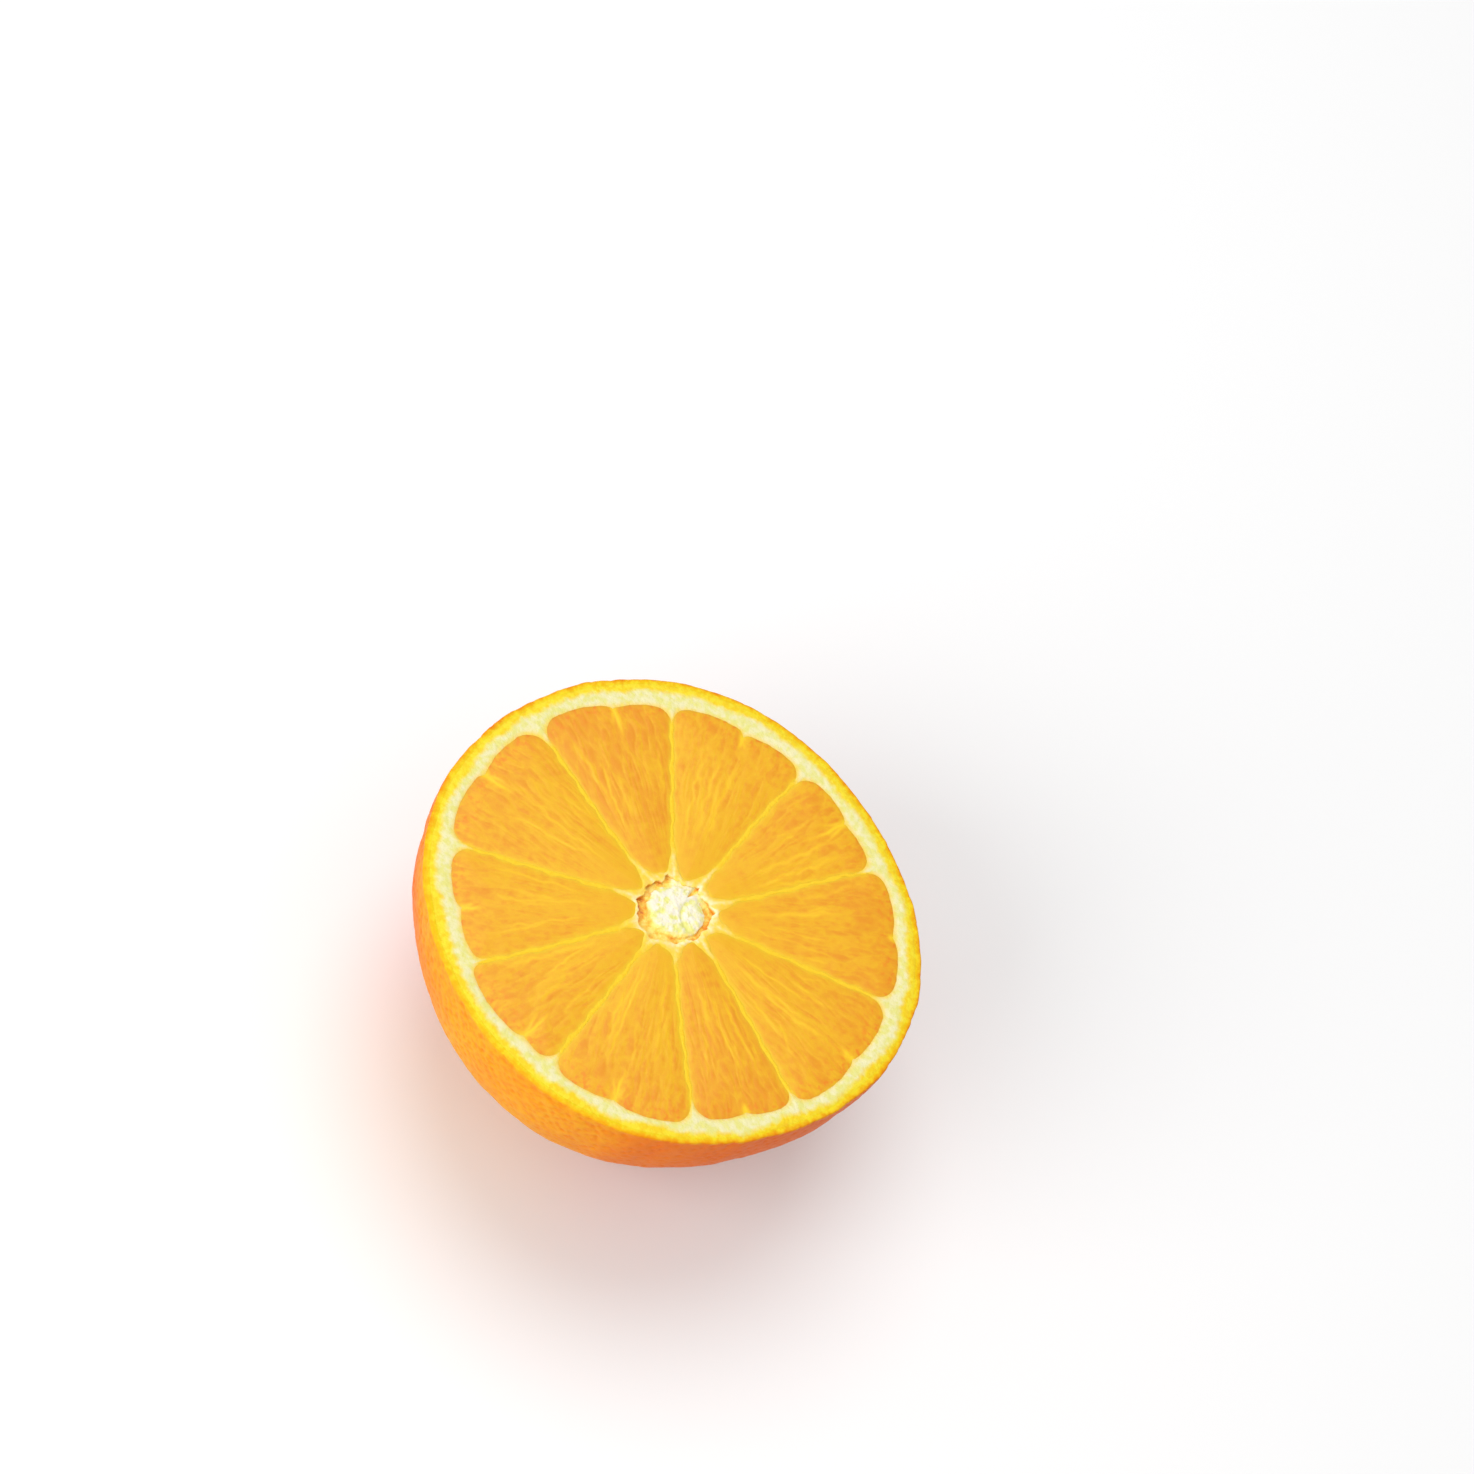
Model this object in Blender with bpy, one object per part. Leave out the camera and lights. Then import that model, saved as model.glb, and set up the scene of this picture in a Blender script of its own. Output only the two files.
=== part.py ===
"""Half an orange, cut across its middle, resting on its rind with the cut face up.

The solid starts as a UV sphere. Its upper rings become the cut face, with the core, the gap round it,
ten segments between their membranes, the pith and the rim. Its lower rings become the rind, down to a
small flat foot. Units are metres, +Z is up, and the foot's middle is the origin.
"""

import math

import bmesh
import bpy
import numpy as np
from mathutils import Vector, noise

# The whole half
RIM_RADIUS = 0.0400
DOME_DEPTH = 0.0400
HEIGHT = 0.0392
MIDDLE = Vector((-0.00028, 0.00013, 0.0))  # the core's axis, which leaves the uneven rim centred on the foot
# How far the rim is from round: how many lobes, their share of the radius, and the first's angle in degrees
RIM_LOBES = ((3, 0.0077, 9.8), (4, 0.0079, 13.7))
# Low swells of the rind: their height and their width across
RIND_SWELLS = ((0.00022, 0.0100), (0.00010, 0.0042))
# The dry scar at the fruit's end, in the middle of the foot
SCAR_RADIUS = 0.0022
SCAR_DEPTH = 0.0004

# The cut edge of the peel
FLAVEDO_THICKNESS = 0.0017
EDGE_ROUNDING = 0.0005

# The membranes, each with its angle beside the core, halfway out and at the pith, in degrees, the radius
# at which it parts into the walls of its two segments, and how far the pith's wedge reaches in along it
MEMBRANES = (
    (10.5, 12.5, 13.3, 0.0077, 0.0026),
    (45.0, 49.6, 51.3, 0.0080, 0.0020),
    (79.5, 83.0, 82.9, 0.0070, 0.0026),
    (124.0, 122.3, 121.9, 0.0070, 0.0020),
    (167.5, 162.5, 160.2, 0.0070, 0.0036),
    (205.0, 204.5, 203.6, 0.0074, 0.0026),
    (241.4, 239.0, 237.0, 0.0086, 0.0018),
    (268.4, 268.2, 267.7, 0.0082, 0.0020),
    (300.3, 303.0, 305.0, 0.0080, 0.0026),
    (338.0, 334.5, 333.0, 0.0076, 0.0020),
)
# The segments, each between its membrane and the next: the radius of its inner tip and of its outer end,
# and the angle in degrees and depth of the notch in that end
SEGMENTS = (
    (0.0063, 0.0366, 32.0, 0.0007),
    (0.0053, 0.0354, 66.0, 0.0009),
    (0.0044, 0.0360, 101.5, 0.0015),
    (0.0050, 0.0360, 138.0, 0.0011),
    (0.0053, 0.0364, 181.5, 0.0014),
    (0.0058, 0.0358, 221.5, 0.0011),
    (0.0069, 0.0367, 258.5, 0.0012),
    (0.0069, 0.0368, 285.0, 0.0009),
    (0.0057, 0.0361, 319.0, 0.0009),
    (0.0060, 0.0367, 353.5, 0.0011),
)
MEMBRANE_REACH = (0.008, 0.020, 0.034)  # the radii where the membranes' three angles hold
MEMBRANE_WIDTH = 0.0008
WEDGE_WIDTH = 0.0011
PULP_EDGE = -0.00030  # the pulp's height over the cut, where it meets a membrane or the pith
PULP_CROWN = 0.00045  # its height in the middle of a segment
SAC_RELIEF = 0.00028
STAR_WALL = 0.0004  # the thin wall round the segments' tips
PITH_WALL = 0.0004  # and between their outer ends and the spongy pith

# The core
CORE_MIDDLE = Vector((0.00045, -0.00100))
CORE_RADIUS = 0.0043
CORE_CROWN = 0.0004
CLEFT_MIDDLE = Vector((0.0042, 0.0010))  # the arc that parts the core's small lobe from the rest
CLEFT_RADIUS = 0.0030
CLEFT_DEPTH = 0.0004
CLEFT_WIDTH = 0.0005

# The gap round the core, from place to place: the angle in degrees, the radius where the core ends and
# where the gap does, and how deep it is. Where it is shallow the core still holds to the segments
GAP = (
    (0.0, 0.0049, 0.0058, 0.0026),
    (15.0, 0.0048, 0.0057, 0.0026),
    (31.0, 0.0044, 0.0062, 0.0024),
    (46.0, 0.0041, 0.0054, 0.0018),
    (60.0, 0.0042, 0.0049, 0.0008),
    (69.0, 0.0040, 0.0047, 0.0008),
    (76.0, 0.0027, 0.0057, 0.0018),
    (84.0, 0.0039, 0.0046, 0.0008),
    (103.0, 0.0036, 0.0043, 0.0008),
    (122.0, 0.0038, 0.0045, 0.0008),
    (135.0, 0.0033, 0.0053, 0.0018),
    (150.0, 0.0036, 0.0045, 0.0020),
    (167.0, 0.0037, 0.0050, 0.0020),
    (185.0, 0.0042, 0.0055, 0.0024),
    (199.0, 0.0039, 0.0055, 0.0024),
    (211.0, 0.0046, 0.0064, 0.0026),
    (228.0, 0.0045, 0.0062, 0.0026),
    (244.0, 0.0051, 0.0072, 0.0022),
    (268.0, 0.0055, 0.0076, 0.0018),
    (284.0, 0.0053, 0.0066, 0.0016),
    (301.0, 0.0052, 0.0067, 0.0022),
    (317.0, 0.0051, 0.0058, 0.0014),
    (333.0, 0.0050, 0.0063, 0.0022),
    (347.0, 0.0049, 0.0058, 0.0024),
)

# How many points each stretch gets
COLUMNS_A_SEGMENT = 10
PULP_RINGS = 12
DOME_RINGS = 19
COLUMNS = COLUMNS_A_SEGMENT * len(SEGMENTS)

FINISHES = {  # base colour and roughness
    "rind": ((0.93, 0.30, 0.035, 1.0), 0.42),
    "pith": ((0.90, 0.80, 0.42, 1.0), 0.60),
    "pulp": ((0.95, 0.46, 0.045, 1.0), 0.30),
    "core": ((0.96, 0.90, 0.70, 1.0), 0.65),
}


def mix(start, end, share):
    return start + (end - start) * share


def smooth(share):
    share = min(1.0, max(0.0, share))
    return share * share * (3 - 2 * share)


def polar(radius, angle, height):
    return Vector((radius * math.cos(angle), radius * math.sin(angle), height))


def rim_radius(angle):
    lobes = [amount * math.cos(count * (angle - math.radians(first))) for count, amount, first in RIM_LOBES]
    return RIM_RADIUS * (1 + sum(lobes))


def membrane_angle(number, radius):
    """The angle of a membrane at that radius, on a parabola through its three angles."""
    near, halfway, far = (math.radians(angle) for angle in MEMBRANES[number % len(MEMBRANES)][:3])
    turns = math.tau * (number // len(MEMBRANES))
    inner, middle, outer = MEMBRANE_REACH
    r = min(max(radius, inner), outer)
    angle = near * (r - middle) * (r - outer) / ((inner - middle) * (inner - outer))
    angle += halfway * (r - inner) * (r - outer) / ((middle - inner) * (middle - outer))
    angle += far * (r - inner) * (r - middle) / ((outer - inner) * (outer - middle))
    return angle + turns


def even_angle(number, place, radius):
    """The angle of a segment's column, with the columns evenly spaced from membrane to membrane."""
    return mix(membrane_angle(number, radius), membrane_angle(number + 1, radius), place / COLUMNS_A_SEGMENT)


def pulp_angle(number, place, radius):
    """The angle of a segment's column, with the first and last against the membranes and the middle one
    led to the notch in the segment's outer end."""
    if place == 0:
        return membrane_angle(number, radius)
    start = membrane_angle(number, radius) + MEMBRANE_WIDTH / 2 / radius
    end = membrane_angle(number + 1, radius) - MEMBRANE_WIDTH / 2 / radius
    notch = (math.radians(SEGMENTS[number][2]) - start) / (end - start)
    outward = smooth((radius - MEMBRANE_REACH[0]) / (MEMBRANE_REACH[2] - MEMBRANE_REACH[0]))
    middle = mix(0.5, notch, outward)
    share = 2 * (place - 1) / (COLUMNS_A_SEGMENT - 2)
    share = share * middle if share <= 1 else mix(middle, 1, share - 1)
    return mix(start, end, share)


def spike(distance, width):
    """1 on a line, falling away on both sides of it from a point."""
    return math.exp(-abs(distance) / width)


def outer_end(number, angle):
    """The radius where a segment's pulp ends, drawn in at its notch and along its membranes."""
    _, radius, notch, notch_depth = SEGMENTS[number]
    radius -= notch_depth * spike((angle - math.radians(notch)) * radius, WEDGE_WIDTH)
    for side in (number, number + 1):
        away = (angle - membrane_angle(side, MEMBRANE_REACH[2])) * radius
        radius -= MEMBRANES[side % len(MEMBRANES)][4] * spike(away, WEDGE_WIDTH)
    return radius


def inner_tip(number, place):
    """The radius of the wall round a segment's tip, least in the middle and most at the membranes."""
    share = 2 * place / COLUMNS_A_SEGMENT - 1
    side = number if share < 0 else number + 1
    parting = MEMBRANES[side % len(MEMBRANES)][3]
    return mix(SEGMENTS[number][0], parting, abs(share) ** 2.6)


def gap_place(angle, column):
    """What the gap has in that column of its table, at an angle."""
    angles = [row[0] for row in GAP]
    values = [row[column] for row in GAP]
    return float(np.interp(math.degrees(angle), angles, values, period=360))


def core_edge(number, place):
    """The radius where the core ends."""
    return gap_place(even_angle(number, place, MEMBRANE_REACH[0]), 1)


def gap_end(number, place):
    """The radius where the gap ends, kept inside the pulp of the segments' tips."""
    wall = inner_tip(number, place) + STAR_WALL - 0.0003
    return min(gap_place(even_angle(number, place, MEMBRANE_REACH[0]), 2), wall)


def core_level(point):
    """The height of the core's top over the cut: crowned, with the cleft that parts its small lobe."""
    crown = CORE_CROWN * (1 - ((point - CORE_MIDDLE).length / CORE_RADIUS) ** 2)
    from_cleft = (point - CLEFT_MIDDLE).length - CLEFT_RADIUS
    return crown - CLEFT_DEPTH * math.exp(-((from_cleft / CLEFT_WIDTH) ** 2))


def pulp_level(number, across, along):
    """The height of the pulp over the cut: a low cushion, with juice sacs as ridges that run outwards."""
    swell = (1 - abs(2 * across - 1) ** 3) * (1 - abs(2 * along - 1) ** 5)
    sacs = noise.noise(Vector((across * 7.0, along * 3.0 - across, number * 4.7)))
    return mix(PULP_EDGE, PULP_CROWN, swell) + SAC_RELIEF * sacs * swell


def core_ring(number, place, share):
    """A point on the core's top, that share of the way out to its edge."""
    point = polar(share * core_edge(number, place), even_angle(number, place, MEMBRANE_REACH[0]), 0)
    edge_drop = EDGE_ROUNDING * smooth((share - 0.8) / 0.2)
    return point + Vector((0, 0, core_level(point.xy) - edge_drop))


def gap_ring(number, place, share):
    """A point on the floor of the gap: beside the core with share 0, and beside the segments with share 1."""
    angle = even_angle(number, place, MEMBRANE_REACH[0])
    core, wall = core_edge(number, place), gap_end(number, place)
    slope = 0.25 * (wall - core)
    return polar(mix(core + slope, wall - slope, share), angle, -gap_place(angle, 3))


def gap_rim_ring(number, place):
    """A point on the cut where the gap ends."""
    return polar(gap_end(number, place), even_angle(number, place, MEMBRANE_REACH[0]), 0)


def wall_ring(number, place):
    """A point on top of the wall round the segments' tips."""
    angle = even_angle(number, place, MEMBRANE_REACH[0])
    return polar(inner_tip(number, place) + STAR_WALL, angle, 0)


def pulp_ring(number, place, along):
    """A point on a segment, from its tip with along 0 to its outer end with along 1."""
    end = outer_end(number, pulp_angle(number, place, MEMBRANE_REACH[2]))
    radius = mix(inner_tip(number, place) + STAR_WALL, end, along)
    angle = mix(even_angle(number, place, radius), pulp_angle(number, place, radius), smooth(along / 0.15))
    across = (place - 1) / (COLUMNS_A_SEGMENT - 2)
    level = 0 if place == 0 else pulp_level(number, across, along)
    return polar(radius, angle, level)


def pith_ring(number, place, share):
    """A point on the pith, from the segments' ends with share 0 to the rim with share 1."""
    angle = pulp_angle(number, place, MEMBRANE_REACH[2])
    inner = outer_end(number, angle) + PITH_WALL
    angle = mix(angle, even_angle(number, place, MEMBRANE_REACH[2]), share)
    return polar(mix(inner, rim_radius(angle), share), angle, 0)


def rim_ring(number, place, inset, drop):
    """A point on the peel, inset from the rim and dropped below the cut."""
    angle = even_angle(number, place, MEMBRANE_REACH[2])
    return polar(rim_radius(angle) - inset, angle, -drop)


def foot_slope():
    """How far below the cut the foot's edge lies, as an angle seen from the middle of the cut face."""
    return math.asin(HEIGHT / DOME_DEPTH)


def dome_ring(number, place, slope):
    """A point on the rind, its slope an angle below the cut as seen from the middle of the cut face."""
    angle = even_angle(number, place, MEMBRANE_REACH[2])
    point = polar(rim_radius(angle) * math.cos(slope), angle, -DOME_DEPTH * math.sin(slope))
    swell = sum(height * noise.noise(point / width) for height, width in RIND_SWELLS)
    above_foot = smooth((foot_slope() - slope) / math.radians(12))
    return point * (1 + swell * above_foot / RIM_RADIUS)


def foot_ring(number, place, radius, rise):
    """A point under the foot, risen into the fruit's scar."""
    return polar(radius, even_angle(number, place, MEMBRANE_REACH[2]), rise - HEIGHT)


def rings():
    """What each ring of the sphere becomes, from the pole on the cut face to the pole under the foot: its
    finish, the function that places it and that function's values."""
    made = [("core", core_ring, (share,)) for share in (0.0, 0.25, 0.5, 0.72, 0.88, 1.0)]
    made += [("core", gap_ring, (0.0,)), ("core", gap_ring, (1.0,))]
    made += [("core", gap_rim_ring, ()), ("pith", wall_ring, ())]
    made += [("pulp", pulp_ring, ((step / PULP_RINGS) ** 0.9,)) for step in range(1, PULP_RINGS + 1)]
    made += [("pith", pith_ring, (0.0,)), ("pith", pith_ring, (0.35,))]
    made += [("pith", rim_ring, (FLAVEDO_THICKNESS, 0.0)), ("rind", rim_ring, (EDGE_ROUNDING, 0.0))]
    made += [("rind", rim_ring, (EDGE_ROUNDING * 0.3, EDGE_ROUNDING * 0.3))]
    first = math.asin(EDGE_ROUNDING / DOME_DEPTH)
    for step in range(DOME_RINGS):
        made.append(("rind", dome_ring, (mix(first, foot_slope(), step / (DOME_RINGS - 1)),)))
    made += [("rind", foot_ring, (SCAR_RADIUS, 0.0)), ("rind", foot_ring, (SCAR_RADIUS * 0.7, SCAR_DEPTH))]
    made += [("rind", foot_ring, (0.0, SCAR_DEPTH))]
    return made


def finish(name):
    colour, roughness = FINISHES[name]
    material = bpy.data.materials.new(name)
    material.use_nodes = True
    shader = material.node_tree.nodes["Principled BSDF"]
    shader.inputs["Base Color"].default_value = colour
    shader.inputs["Roughness"].default_value = roughness
    shader.inputs["Metallic"].default_value = 0.0
    return material


def orange_half(collection):
    """The sphere, with every point carried to its place on the half."""
    plan = rings()
    last = len(plan) - 1
    bm = bmesh.new()
    bmesh.ops.create_uvsphere(bm, u_segments=COLUMNS, v_segments=last, radius=1.0)
    ring_of = {vert: round(math.acos(max(-1.0, min(1.0, vert.co.z))) / math.pi * last) for vert in bm.verts}
    for vert, ring in ring_of.items():
        column = round(math.atan2(vert.co.y, vert.co.x) / math.tau * COLUMNS) % COLUMNS
        number, place = divmod(column, COLUMNS_A_SEGMENT)
        _, placed, values = plan[ring]
        vert.co = placed(number, place, *values) + MIDDLE + Vector((0, 0, HEIGHT))
    names = list(FINISHES)
    for face in bm.faces:
        face.material_index = names.index(plan[max(ring_of[vert] for vert in face.verts)][0])
        face.smooth = True
    bmesh.ops.recalc_face_normals(bm, faces=bm.faces)
    mesh = bpy.data.meshes.new("orange_half")
    bm.to_mesh(mesh)
    bm.free()
    mesh.set_sharp_from_angle(angle=math.radians(40))
    for name in names:
        mesh.materials.append(finish(name))
    collection.objects.link(bpy.data.objects.new("orange_half", mesh))


def main():
    for obj in list(bpy.data.objects):
        bpy.data.objects.remove(obj, do_unlink=True)
    collection = bpy.data.collections.new("orange_half")
    bpy.context.scene.collection.children.link(collection)
    orange_half(collection)


main()
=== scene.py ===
import math

import bmesh
import bpy
import numpy as np
from mathutils import Matrix, Vector, kdtree, noise


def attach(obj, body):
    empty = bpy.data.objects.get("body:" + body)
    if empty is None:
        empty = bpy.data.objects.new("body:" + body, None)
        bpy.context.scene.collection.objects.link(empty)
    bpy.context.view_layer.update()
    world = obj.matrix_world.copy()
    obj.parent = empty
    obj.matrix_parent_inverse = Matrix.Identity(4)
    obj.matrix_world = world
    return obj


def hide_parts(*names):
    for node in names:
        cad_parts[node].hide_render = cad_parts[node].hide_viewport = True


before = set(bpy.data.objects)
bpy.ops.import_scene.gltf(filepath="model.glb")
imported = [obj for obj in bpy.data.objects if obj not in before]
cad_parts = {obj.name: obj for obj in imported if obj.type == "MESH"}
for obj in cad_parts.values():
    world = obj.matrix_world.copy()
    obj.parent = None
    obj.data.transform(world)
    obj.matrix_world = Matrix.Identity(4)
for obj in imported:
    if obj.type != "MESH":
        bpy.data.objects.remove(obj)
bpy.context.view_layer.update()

# The orange half's surface: the rind, the pith with its membranes, ten segments of pulp and the core.
# Sizes are in millimetres and angles in degrees, and the pieces are made in metres. Heights are counted
# from the plane of the cut, and radii and angles from the core's axis.
MM = 0.001
LIFT = Vector((-0.28, 0.13, 39.2)) * MM  # from the middle of the foot to the core's axis at the cut

# The whole half
RIM_RADIUS = 40.1
DOME_DEPTH = 40.0
RIM_LOBES = ((3, 0.0077, 9.8), (4, 0.0079, 13.7))  # how many, their share of the radius, the first's angle
RIM_RIPPLES = ((17, 0.0012, 40.0), (29, 0.0008, 5.0), (47, 0.0005, 80.0))
RIND_SWELLS = ((0.22, 10.0), (0.10, 4.2))  # height, and width across
SCAR_RADIUS = 2.2
SCAR_DEPTH = 0.4

# The pores of the rind
PORE_SPACING = 1.65
PORE_DEPTH = 0.17
PORE_RADIUS = 0.38
PEBBLE_HEIGHT = 0.06
PEBBLE_SIZE = 1.3
RIM_BUMPS = 0.16  # how high the rind stands up in places along its cut edge
RIM_BUMP_SIZE = 1.8

# The peel where it is cut
PEEL_THICKNESS = 4.0
RIND_THICKNESS = 2.0
RIND_LIP = 1.0  # how far in from the rim the rind's own cut surface reaches
RIND_WALL = 1.6  # how far down its inner wall runs from there
EDGE_ROUNDING = 0.25
EDGE_RELIEF = 0.7  # how much of the rind's relief its cut edge still has
SEAM_SLOPE = 45.0  # how far below the cut the rind and its underside meet
SEAM_LAP = 0.16  # how far the underside reaches up past that seam
PEEL_TILT = 0.10  # how far the pith bulges over the cut

# The membranes: angle beside the core, halfway out and at the pith, the radius at which each parts into
# its two segments' walls, and how far the pith's wedge reaches in along it
MEMBRANES = (
    (10.5, 12.5, 13.3, 7.7, 2.4),
    (45.0, 49.6, 51.3, 8.0, 2.0),
    (79.5, 83.0, 82.9, 7.0, 2.4),
    (124.0, 122.3, 121.9, 7.0, 2.0),
    (167.5, 162.5, 160.2, 7.0, 3.4),
    (205.0, 204.5, 203.6, 7.4, 2.4),
    (241.4, 239.0, 237.0, 8.6, 1.3),
    (268.4, 268.2, 267.7, 8.2, 2.0),
    (300.3, 303.0, 305.0, 8.0, 2.4),
    (338.0, 334.5, 333.0, 7.6, 1.7),
)
MEMBRANE_REACH = (8.0, 20.0, 34.0)  # the radii where the three angles hold
MEMBRANE_HALF = 0.28
MEMBRANE_UNEVEN = 0.25
MEMBRANE_CROWN = 0.04
MEMBRANE_WANDER = ((1.05, 0.10), (2.30, 0.06))  # waves a millimetre out, and how far they sway

# The segments, each from its membrane to the next: the radius of its tip's wall, how far out the two lobes
# of its outer end reach, the angle and depth of the notch between them, and how far pale threads run in
SEGMENTS = (
    (6.3, 36.6, 36.3, 32.0, 0.2, 0.8),
    (5.3, 34.9, 35.5, 66.0, 0.3, 7.0),
    (4.4, 35.5, 35.9, 101.5, 1.0, 2.5),
    (5.0, 35.5, 36.0, 138.0, 0.2, 5.0),
    (5.3, 36.0, 36.5, 181.5, 0.4, 4.5),
    (5.8, 35.7, 35.2, 221.5, 0.5, 3.0),
    (6.9, 36.6, 35.9, 258.5, 0.3, 5.5),
    (6.9, 36.5, 36.8, 285.0, 0.2, 5.0),
    (5.7, 35.7, 35.8, 319.0, 0.2, 1.5),
    (6.0, 36.5, 36.4, 353.5, 0.3, 2.5),
)
SEGMENT_TONES = (-0.3, 0.0, 0.0, -0.6, 0.0, 0.0, 0.0, 0.0, -0.6, 0.0)  # lower is more orange
WALL_WHITES = (1.0, 1.0, 0.7, 0.7, 0.2, 0.8, 0.7, 0.8, 0.9, 0.9)  # how white the wall round each tip is
NOTCH_HALF = 1.2
LOBE_DOME = 0.65  # how much farther out the middle of a lobe lies than its sides
TIP_WALL = 0.8
THINNEST_WALL = 0.4  # what the gap's teeth leave of a tip's wall
END_RIPPLE = 0.05

# The pulp and its juice sacs
PULP_EDGE = -0.01
PULP_CROWN = 0.26
PULP_RISE = 3.0  # how far in from its walls the pulp takes to rise
PULP_THICKNESS = 4.0
SAC_WIDTH = 1.1
SAC_LENGTH = 7.0
SAC_SWAY = 0.8
SAC_RELIEF = 0.024
STRANDS = 7
PITH_THICKNESS = 2.5

# The core
CORE_MIDDLE = (0.45, -1.0)
CORE_RADIUS = 4.5
CORE_CROWN = 0.12
CORE_LUMPS = ((0.10, 1.3), (0.09, 0.7), (0.05, 0.35))

# The gap round the core, from place to place: the angle, the radius where the core ends and where the
# gap does, how deep it is, and how brown it is painted, from 0 for white: partly its own browning and
# partly painted shade of the trench. It is nearly closed where it is shallow
GAP = (
    (0.0, 4.9, 5.8, 1.0, 0.60),
    (15.0, 4.8, 5.7, 1.0, 0.60),
    (31.0, 4.4, 6.2, 0.9, 0.50),
    (46.0, 4.1, 5.4, 0.6, 0.40),
    (60.0, 4.2, 4.8, 0.2, 0.05),
    (69.0, 4.0, 4.6, 0.2, 0.05),
    (76.0, 2.7, 5.7, 0.7, 0.60),
    (84.0, 3.9, 4.5, 0.2, 0.05),
    (103.0, 3.7, 4.2, 0.2, 0.30),
    (122.0, 3.8, 4.4, 0.2, 0.05),
    (135.0, 3.3, 5.3, 0.7, 0.50),
    (150.0, 3.6, 4.5, 0.8, 0.60),
    (167.0, 3.7, 5.0, 0.8, 0.45),
    (185.0, 4.2, 5.5, 0.9, 0.45),
    (199.0, 3.9, 5.5, 0.9, 0.50),
    (211.0, 4.6, 6.4, 1.0, 0.90),
    (228.0, 4.5, 6.2, 1.0, 0.90),
    (244.0, 5.1, 7.2, 0.8, 0.55),
    (268.0, 5.5, 7.6, 0.6, 0.50),
    (284.0, 5.3, 6.6, 0.5, 0.40),
    (301.0, 5.2, 6.7, 0.8, 0.70),
    (317.0, 5.2, 5.8, 0.4, 0.25),
    (333.0, 5.0, 6.3, 0.8, 0.60),
    (347.0, 4.9, 5.8, 0.9, 0.70),
)
FADE_AT = 272.0  # the side where the core's white turns yellow towards the gap
CLEFT_MIDDLE = (4.1, 0.8)
CLEFT_RADIUS = 3.1
CLEFT_DEPTH = 0.22
CLEFT_WIDTH = 0.35

# The ways that parts of the peel face: the side painted paler as painted light from the key lamp, the flank
# painted deepest orange as painted shade, and where the white of the pith is broadest
PAINTED_LIGHT_SIDE = (-0.42, -0.91, 0.0)
PAINTED_SHADE_SIDE = (-0.90, 0.43, 0.0)
BROAD_SIDE = (0.87, -0.50, 0.0)

# The lamps: name, place and width in metres, and power in watts
LAMPS = (
    ("key", (-0.46, -0.76, 0.46), 0.8, 6.7),
    ("top", (-0.3, 0.3, 1.0), 0.8, 4.8),
)

# How finely each piece is made
RIND_COLUMNS = 1000
UNDERSIDE_COLUMNS = 640
PULP_COLUMNS = 140
PULP_ROWS = 165
WEB_COLUMNS = 96  # a segment's share of the pith and membranes
SIDE_COLUMNS = 2  # how many of them lie on the membrane at each side
WALL_ROWS = 4
STRIP_ROWS = 70
PITH_ROWS = 15
CORE_COLUMNS = 300

# The photo's camera: where it stands from the middle of the cut face, how far it is turned about its own
# line of sight, and where in the picture, from its left and top, the middle of the cut face lies
PHOTO_SIDE = 1474
PHOTO_AIM = (676.0, 906.0)
CAMERA_DISTANCE = 0.6256
CAMERA_ELEVATION = 55.45
CAMERA_ROLL = -35.68
CAMERA_LENS = 100.0
CAMERA_SENSOR = 36.0


def colour(red, green, blue):
    """A colour given as a screen shows it, from 0 to 255, as the shaders need it."""
    linear = []
    for value in (red, green, blue):
        value /= 255
        linear.append(value / 12.92 if value <= 0.04045 else ((value + 0.055) / 1.055) ** 2.4)
    return (*linear, 1.0)


def mix(start, end, share):
    return start + (end - start) * share


def smooth(share):
    share = np.clip(share, 0, 1)
    return share * share * (3 - 2 * share)


def polar(radius, angle, height):
    """Points in millimetres, from radii, angles in radians and heights over the cut."""
    radius, angle, height = np.broadcast_arrays(radius, angle, height)
    return np.stack((radius * np.cos(angle), radius * np.sin(angle), height), axis=-1)


def noise_at(points, size, seed=0.0):
    """Smooth noise between about -1 and 1 at each point, in swells about that size across."""
    shift = Vector((seed * 7.31, seed * 3.17, seed * 5.53))
    return np.array([noise.noise(Vector(point) / size + shift) for point in points])


def nearest(points, marks):
    """How far each point is from the nearest mark."""
    tree = kdtree.KDTree(len(marks))
    for index, mark in enumerate(marks):
        tree.insert(mark, index)
    tree.balance()
    return np.array([tree.find(point)[2] for point in points])


def rim_radius(angle):
    share = 1.0
    for count, amount, first in RIM_LOBES + RIM_RIPPLES:
        share = share + amount * np.cos(count * (angle - math.radians(first)))
    return RIM_RADIUS * share


def membrane_angle(number, radius):
    """The angle of a membrane at that radius, on a parabola through its three angles, with a slight sway."""
    near, halfway, far = (math.radians(angle) for angle in MEMBRANES[number % len(MEMBRANES)][:3])
    turns = math.tau * (number // len(MEMBRANES))
    inner, middle, outer = MEMBRANE_REACH
    r = np.clip(radius, inner, outer)
    angle = near * (r - middle) * (r - outer) / ((inner - middle) * (inner - outer))
    angle += halfway * (r - inner) * (r - outer) / ((middle - inner) * (middle - outer))
    angle += far * (r - inner) * (r - middle) / ((outer - inner) * (outer - middle))
    for waves, sway in MEMBRANE_WANDER:
        angle += sway * np.sin(waves * r + 2.4 * (number % len(MEMBRANES))) / r
    return angle + turns


def membrane_half(number, radius):
    """Half a membrane's thickness, which swells and thins a little along it."""
    number = number % len(MEMBRANES)
    waves = np.sin(0.9 * radius + 1.7 * number) + 0.6 * np.sin(2.3 * radius + number)
    root = np.exp(-np.abs(radius - MEMBRANES[number][3]) / 1.6)
    return MEMBRANE_HALF * (1 + MEMBRANE_UNEVEN * waves + 0.7 * root)


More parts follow.
